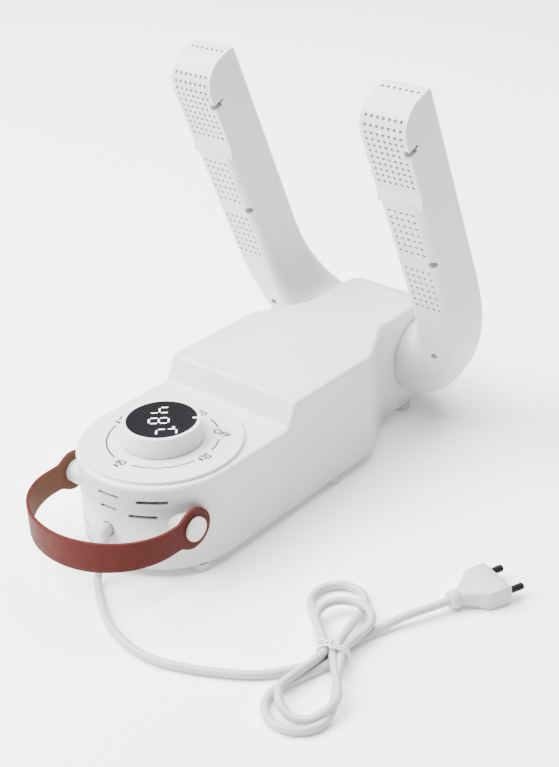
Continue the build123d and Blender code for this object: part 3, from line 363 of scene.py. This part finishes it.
plug_vinyl = plastic_finish("plug_vinyl", (0.45, 0.455, 0.46), 0.38, 1800.0, 0.00005, 0.03)
plug_moulding.data.materials.append(plug_vinyl)
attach(plug_moulding, "casing")
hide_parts("plug_body")

plug_face = 0.0315
pin_length = 0.0100
pin_offset = 0.0093
pin_round = 0.0008
pins_shape = bmesh.new()
for side in (-1, 1):
    for first, last, radius in ((-0.001, 0.0058, 0.0019), (0.0058, pin_length, 0.0020)):
        made = bmesh.ops.create_cone(pins_shape, cap_ends=True, segments=20, radius1=radius,
                                     radius2=radius, depth=last - first)["verts"]
        middle = (side * pin_offset, 0, plug_face + (first + last) / 2)
        bmesh.ops.translate(pins_shape, verts=made, vec=middle)
tip_edges = [edge for edge in pins_shape.edges
             if all(abs(vert.co.z - plug_face - pin_length) < 1e-5 for vert in edge.verts)]
bmesh.ops.bevel(pins_shape, geom=tip_edges, offset=pin_round, segments=3, profile=0.5,
                affect="EDGES", material=-1)
bmesh.ops.transform(pins_shape, matrix=plug_place, verts=pins_shape.verts)
plug_contacts = take_mesh("plug_contacts", pins_shape)
sleeve_black = plastic_finish("sleeve_black", (0.006, 0.006, 0.006), 0.5, 2000.0, 0.00003,
                              Specular_IOR_Level=0.15)
plug_contacts.data.materials.append(sleeve_black)
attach(plug_contacts, "casing")
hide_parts("plug_pins")

# ---- Casing and arms ------------------------------------------------------------------------
# Injection-moulded white plastic with a fine satin grain; the arms are two screwed shells each.
shell_white = plastic_finish("shell_white", (0.585, 0.585, 0.585), 0.42, 3200.0, 0.00003, 0.008)
arm_white = plastic_finish("arm_white", (0.575, 0.575, 0.575), 0.45, 3200.0, 0.00003, 0.008)
base_white = plastic_finish("base_white", (0.66, 0.66, 0.66), 0.55, 2400.0, 0.00004, 0.02)
dress(["upper_casing"], shell_white)
dress(["right_arm_front", "right_arm_back", "left_arm_front", "left_arm_back"], arm_white)
dress(["base_plate"], base_white)
dress(["rubber_feet"], plastic_finish("foot_rubber", (0.6, 0.6, 0.6), 0.7, 900.0, 0.0001, 0.05))

# ---- Screws, rings and collars --------------------------------------------------------------
# Zinc-plated screws, spring-steel rings and natural nylon collars and bushes.
steel_plate = plastic_finish("zinc_plate", (0.55, 0.55, 0.57), 0.38, 1200.0, 0.00006, 0.06, Metallic=1.0)
dress(["casing_screws", "right_arm_screws", "left_arm_screws", "board_screws", "encoder_nut", "fan_shaft",
       "right_arm_ring", "left_arm_ring"], steel_plate)
nylon = plastic_finish("natural_nylon", (0.74, 0.73, 0.68), 0.5, 900.0, 0.00005, 0.04)
dress(["right_arm_collar", "left_arm_collar", "right_bush", "left_bush", "knob_shaft", "heater_frame",
       "terminal_block"], nylon)

# ---- Fan, heater and ducting ----------------------------------------------------------------
# Black moulded fan and duct, bare aluminium heating fins, a small metal cut-out.
duct_black = plastic_finish("duct_black", (0.03, 0.03, 0.032), 0.5, 1500.0, 0.00006, 0.1)
dress(["fan_housing", "fan_impeller", "air_duct", "air_manifold", "transformer", "capacitor", "timer_encoder",
       "display_module"], duct_black)
dress(["fan_motor", "thermal_cutout"],
      plastic_finish("motor_can", (0.35, 0.35, 0.37), 0.35, 900.0, 0.00005, 0.05, Metallic=1.0))
dress(["heater_core"],
      plastic_finish("heater_fins", (0.72, 0.72, 0.73), 0.42, 700.0, 0.0001, 0.06, Metallic=1.0))
dress(["control_board"], plastic_finish("board_green", (0.03, 0.2, 0.09), 0.35, 800.0, 0.00005, 0.15))
dress(["relay"], plastic_finish("relay_blue", (0.05, 0.16, 0.4), 0.35, 900.0, 0.00005, 0.05))

# ---- Dial -----------------------------------------------------------------------------------
# White disc set on the deck, printed in grey: minute marks joined by thin arcs round the knob.
dress(["timer_dial"], plastic_finish("dial_white", (0.6, 0.6, 0.6), 0.4, 3000.0, 0.00002, 0.006))
dial_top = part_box("timer_dial")[1].z
print_rise = dial_top + 0.00004
print_thickness = 0.00003
print_boldness = 0.00018
print_grey = plastic_finish("print_grey", (0.008, 0.008, 0.009), 0.6, 3000.0, 0.00002, 0.06)


def printed_word(name, words, size, place):
    """Flat printed lettering, made a mesh and laid on the dial at place."""
    letters = bpy.data.curves.new(name, "FONT")
    letters.body = words
    letters.size = size
    letters.align_x = "CENTER"
    letters.align_y = "CENTER"
    letters.extrude = print_thickness
    letters.offset = print_boldness
    letters.resolution_u = 3
    holder = bpy.data.objects.new(name + "_line", letters)
    bpy.context.scene.collection.objects.link(holder)
    bpy.context.view_layer.update()
    mesh = bpy.data.meshes.new_from_object(holder)
    bpy.data.objects.remove(holder)
    mesh.transform(Matrix.Translation((*place, print_rise)))
    piece = bpy.data.objects.new(name, mesh)
    bpy.context.scene.collection.objects.link(piece)
    piece.data.materials.clear()
    piece.data.materials.append(print_grey)
    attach(piece, "casing")


arc_reach = 0.0322
mark_reach = arc_reach * 1.03
number_size = 0.0066
unit_size = 0.0026
unit_drop = 0.0037
for name, words, angle in (("mark_off", "OFF", 45), ("mark_30", "30", 0), ("mark_60", "60", -90),
                           ("mark_90", "90", 180), ("mark_120", "120", 95)):
    turn = math.radians(angle)
    spot = (mark_reach * math.cos(turn), knob_y + mark_reach * math.sin(turn))
    printed_word(name, words, number_size, spot)
    if words != "OFF":
        printed_word(name + "_unit", "min", unit_size, (spot[0], spot[1] - unit_drop))

arc_half_width = 0.0005
arc_shape = bmesh.new()
for first, last in ((-78, -12), (-168, -102), (102, 168), (58, 76), (12, 34)):
    ends = [bmesh.ops.create_vert(arc_shape, co=(reach, 0, print_rise))["vert"][0]
            for reach in (arc_reach - arc_half_width, arc_reach + arc_half_width)]
    rung = arc_shape.edges.new(ends)
    start = Matrix.Rotation(math.radians(first), 3, "Z")
    bmesh.ops.rotate(arc_shape, verts=ends, cent=(0, 0, 0), matrix=start)
    bmesh.ops.spin(arc_shape, geom=[*ends, rung], cent=(0, 0, 0), axis=(0, 0, 1),
                   angle=math.radians(last - first), steps=24, use_merge=False)
bmesh.ops.recalc_face_normals(arc_shape, faces=arc_shape.faces)
if sum(face.normal.z for face in arc_shape.faces) < 0:
    bmesh.ops.reverse_faces(arc_shape, faces=arc_shape.faces)
bmesh.ops.translate(arc_shape, verts=arc_shape.verts, vec=(0, knob_y, 0))
dial_arcs = take_mesh("dial_arcs", arc_shape)
dial_arcs.data.materials.append(print_grey)
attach(dial_arcs, "casing")

# ---- Knob and display -----------------------------------------------------------------------
# White fluted knob with a black window flush in its top; the lit figures lie under the window.
dress(["knob"], plastic_finish("knob_white", (0.64, 0.64, 0.64), 0.3, 3000.0, 0.00002, 0.006))
window_black = plastic_finish("window_black", (0.008, 0.008, 0.009), 0.2, 3000.0, 0.000005, 0.1,
                              Specular_IOR_Level=0.2)
dress(["display_window"], window_black)
window_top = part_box("display_window")[1].z
notch_angle = math.radians(42)
figures_turn = notch_angle - math.radians(90)
lit_white, lit_wire, lit_shader = new_finish("lit_figures", Emission_Strength=1.3)
lit_place = lit_wire.node("ShaderNodeTexCoord", out=3)
lit_cloud = lit_wire.node("ShaderNodeTexNoise", {}, {"Vector": lit_place, "Scale": 400.0})
lit_tint = lit_cloud.mix((0.72, 0.76, 0.8), (0.95, 0.97, 1.0))
feed(lit_wire, lit_shader, Base_Color=lit_tint, Emission_Color=lit_tint)

figure_height = 0.0112
bar_width = 0.0010
segments_on = {"4": "bcfg", "8": "abcdefg", "C": "adef"}
figure_shape = bmesh.new()


def lit_segment(middle, length, upright):
    """One bar of a figure: a long flat hexagon."""
    bar = bmesh.ops.create_circle(figure_shape, cap_ends=True, segments=6, radius=1.0)["verts"]
    for vert in bar:
        at_tip = abs(vert.co.y) < 0.1
        vert.co.x = math.copysign(length / 2 - (0 if at_tip else bar_width / 2), vert.co.x)
        vert.co.y = 0 if at_tip else math.copysign(bar_width / 2, vert.co.y)
    turn = Matrix.Rotation(math.radians(90 if upright else 0), 3, "Z")
    bmesh.ops.rotate(figure_shape, verts=bar, cent=(0, 0, 0), matrix=turn)
    bmesh.ops.translate(figure_shape, verts=bar, vec=(*middle, 0))


def lit_figure(sign, centre):
    """One seven-bar figure about centre."""
    half = figure_height / 4
    reach = half * 1.05
    places = {"a": ((0, 2 * half), False), "g": ((0, 0), False), "d": ((0, -2 * half), False),
              "f": ((-reach, half), True), "b": ((reach, half), True),
              "e": ((-reach, -half), True), "c": ((reach, -half), True)}
    for key in segments_on[sign]:
        (across, up), upright = places[key]
        length = (2 * half if upright else 2 * reach) * 0.86
        lit_segment((centre[0] + across, centre[1] + up), length, upright)


lit_figure("4", (-0.0102, -0.0016))
lit_figure("8", (0.0015, -0.0015))
lit_figure("C", (0.0141, 0.0034))
degree_place = Vector((0.0092, 0.0072, 0))
degree_ring = bmesh.ops.create_circle(figure_shape, segments=12, radius=0.0009)["verts"]
bmesh.ops.translate(figure_shape, verts=degree_ring, vec=degree_place)
degree_edges = [edge for edge in figure_shape.edges if all(vert in degree_ring for vert in edge.verts)]
for part in bmesh.ops.extrude_edge_only(figure_shape, edges=degree_edges)["geom"]:
    if isinstance(part, bmesh.types.BMVert):
        part.co = degree_place + (part.co - degree_place) * 0.5
bmesh.ops.recalc_face_normals(figure_shape, faces=figure_shape.faces)
for face in figure_shape.faces:
    if face.normal.z < 0:
        face.normal_flip()
figures_lift = 0.00003
figures_place = Matrix.Translation((0, knob_y, window_top + figures_lift))
bmesh.ops.transform(figure_shape, verts=figure_shape.verts,
                    matrix=figures_place @ Matrix.Rotation(figures_turn, 4, "Z"))
display_figures = take_mesh("display_figures", figure_shape)
display_figures.data.materials.append(lit_white)
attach(display_figures, "timer_knob")

# small white pointer moulded on the rim
pointer_half_length = 0.0015
pointer_half_width = 0.0009
pointer_height = 0.0002
pointer_reach = 0.0192
pointer_shape = bmesh.new()
bmesh.ops.create_grid(pointer_shape, x_segments=1, y_segments=1, size=1.0)
for vert in pointer_shape.verts:
    vert.co = Vector((vert.co.x * pointer_half_length, vert.co.y * pointer_half_width, 0))
for part in bmesh.ops.extrude_face_region(pointer_shape, geom=pointer_shape.faces[:])["geom"]:
    if isinstance(part, bmesh.types.BMVert):
        part.co.z += pointer_height
bmesh.ops.recalc_face_normals(pointer_shape, faces=pointer_shape.faces)
bmesh.ops.translate(pointer_shape, verts=pointer_shape.verts, vec=(pointer_reach, 0, window_top))
bmesh.ops.rotate(pointer_shape, verts=pointer_shape.verts, cent=(0, 0, 0),
                 matrix=Matrix.Rotation(notch_angle, 3, "Z"))
bmesh.ops.translate(pointer_shape, verts=pointer_shape.verts, vec=(0, knob_y, 0))
knob_pointer = take_mesh("knob_pointer", pointer_shape)
knob_pointer.data.materials.append(nodes["knob"].data.materials[0])
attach(knob_pointer, "timer_knob")

# ---- Strap ----------------------------------------------------------------------------------
# Red-brown leather strap: a band with a rounded eye at each end, held by two cap rivets.
strap_half_thickness = 0.00095
strap_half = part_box("strap")[1].x - strap_half_thickness
rivet_ahead = 0.028
rivet_height = 0.036
rivet_place = Vector((strap_half, knob_y - rivet_ahead, rivet_height))
strap_front_ahead = 0.0875
strap_bend_ahead = 0.044
strap_front_depth = strap_front_ahead - strap_bend_ahead - strap_half_thickness
strap_bend_y = knob_y - strap_bend_ahead
lobe_reach = 0.012
neck_half_width = 0.0078
front_widening = 0.0017
neck_end = 0.030
neck_taper = 0.05
thinnest_end = 0.0004
band_shape = bmesh.new()
bmesh.ops.create_grid(band_shape, x_segments=120, y_segments=10, size=1.0)
front_steps = 400
side_steps = 40
front_line = []
for step in range(front_steps + 1):
    angle = math.pi * step / front_steps
    ahead = strap_front_depth * math.sin(angle)
    front_line.append(Vector((strap_half * math.cos(angle), strap_bend_y - ahead, 0)))
straight = rivet_place.y + lobe_reach - strap_bend_y
path = [Vector((strap_half, strap_bend_y + straight * (1 - step / side_steps), 0))
        for step in range(side_steps)]
path += front_line
path += [Vector((-strap_half, strap_bend_y + straight * (step + 1) / side_steps, 0))
         for step in range(side_steps)]
lengths = [0.0]
for before, here in zip(path, path[1:]):
    lengths.append(lengths[-1] + (here - before).length)
total = lengths[-1]


def strap_point(distance):
    """Place on the strap's middle line this far from its right end."""
    for index in range(1, len(lengths)):
        if lengths[index] >= distance - 1e-9:
            share = (distance - lengths[index - 1]) / (lengths[index] - lengths[index - 1])
            return path[index - 1].lerp(path[index], share)
    return path[-1]


def strap_half_width(distance):
    """Half the strap's width: a round eye, a slimmer neck and a full front."""
    from_end = min(distance, total - distance)
    eye = math.sqrt(max(0.0, lobe_reach ** 2 - (from_end - lobe_reach) ** 2))
    band = neck_half_width + front_widening * min(1.0, max(0.0, (from_end - neck_end) / neck_taper))
    if from_end < lobe_reach:
        return eye
    return (eye ** 5 + band ** 5) ** 0.2


for vert in band_shape.verts:
    share = (vert.co.x + 1) / 2
    # closer rows at the two eyes
    eased = 0.5 - 0.5 * math.cos(math.pi * share)
    distance = total * (0.35 * share + 0.65 * eased)
    middle = strap_point(distance)
    half_width = max(thinnest_end, strap_half_width(distance))
    vert.co = Vector((middle.x, middle.y, rivet_place.z + vert.co.y * half_width))
bmesh.ops.remove_doubles(band_shape, verts=band_shape.verts, dist=0.00002)
bmesh.ops.recalc_face_normals(band_shape, faces=band_shape.faces)
leather_band = take_mesh("leather_strap", band_shape)
thick = leather_band.modifiers.new("thickness", "SOLIDIFY")
thick.thickness = 0.0018
thick.offset = 0.0
rounded = leather_band.modifiers.new("edges", "BEVEL")
rounded.width = 0.00045
rounded.segments = 2
rounded.limit_method = "ANGLE"
leather_band.data.shade_smooth()

leather, leather_wire, leather_shader = new_finish("strap_leather", Specular_IOR_Level=0.1)
leather_place = leather_wire.node("ShaderNodeTexCoord", out=3)
pebble = leather_wire.node("ShaderNodeTexVoronoi", {"feature": "SMOOTH_F1"},
                           {"Vector": leather_place, "Scale": 1500.0})
crease = leather_wire.node("ShaderNodeTexNoise", {}, {"Vector": leather_place, "Scale": 320.0, "Detail": 5.0})
patch = leather_wire.node("ShaderNodeTexNoise", {}, {"Vector": leather_place, "Scale": 38.0, "Detail": 3.0})
leather_tint = patch.mix((0.058, 0.0085, 0.0055), (0.080, 0.0125, 0.0085))
leather_tint = (crease * 0.35).mix(leather_tint, (0.032, 0.0055, 0.004))
leather_height = pebble * 0.7 + crease * 0.6
leather_bump = leather_wire.node("ShaderNodeBump", {},
                                 {"Strength": 0.35, "Distance": 0.0002, "Height": leather_height})
feed(leather_wire, leather_shader, Base_Color=leather_tint, Roughness=crease * 0.2 + 0.5, Normal=leather_bump)
leather_band.data.materials.append(leather)

suede, suede_wire, suede_shader = new_finish("strap_suede", Specular_IOR_Level=0.08)
suede_place = suede_wire.node("ShaderNodeTexCoord", out=3)
nap = suede_wire.node("ShaderNodeTexNoise", {}, {"Vector": suede_place, "Scale": 700.0, "Detail": 6.0})
suede_bump = suede_wire.node("ShaderNodeBump", {}, {"Strength": 0.5, "Distance": 0.0002, "Height": nap})
feed(suede_wire, suede_shader, Base_Color=nap.mix((0.072, 0.034, 0.02), (0.115, 0.058, 0.036)),
     Roughness=nap * 0.2 + 0.65, Normal=suede_bump)
leather_band.data.materials.append(suede)
thick.material_offset = 1
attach(leather_band, "carrying_strap")
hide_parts("strap")

# ---- Strap rivets ---------------------------------------------------------------------------
# Pearly white domed caps on the ends of the rivets.
dress(["strap_rivets"],
      plastic_finish("rivet_pearl", (0.62, 0.59, 0.55), 0.22, 1500.0, 0.00002, 0.03, Coat_Weight=0.4))
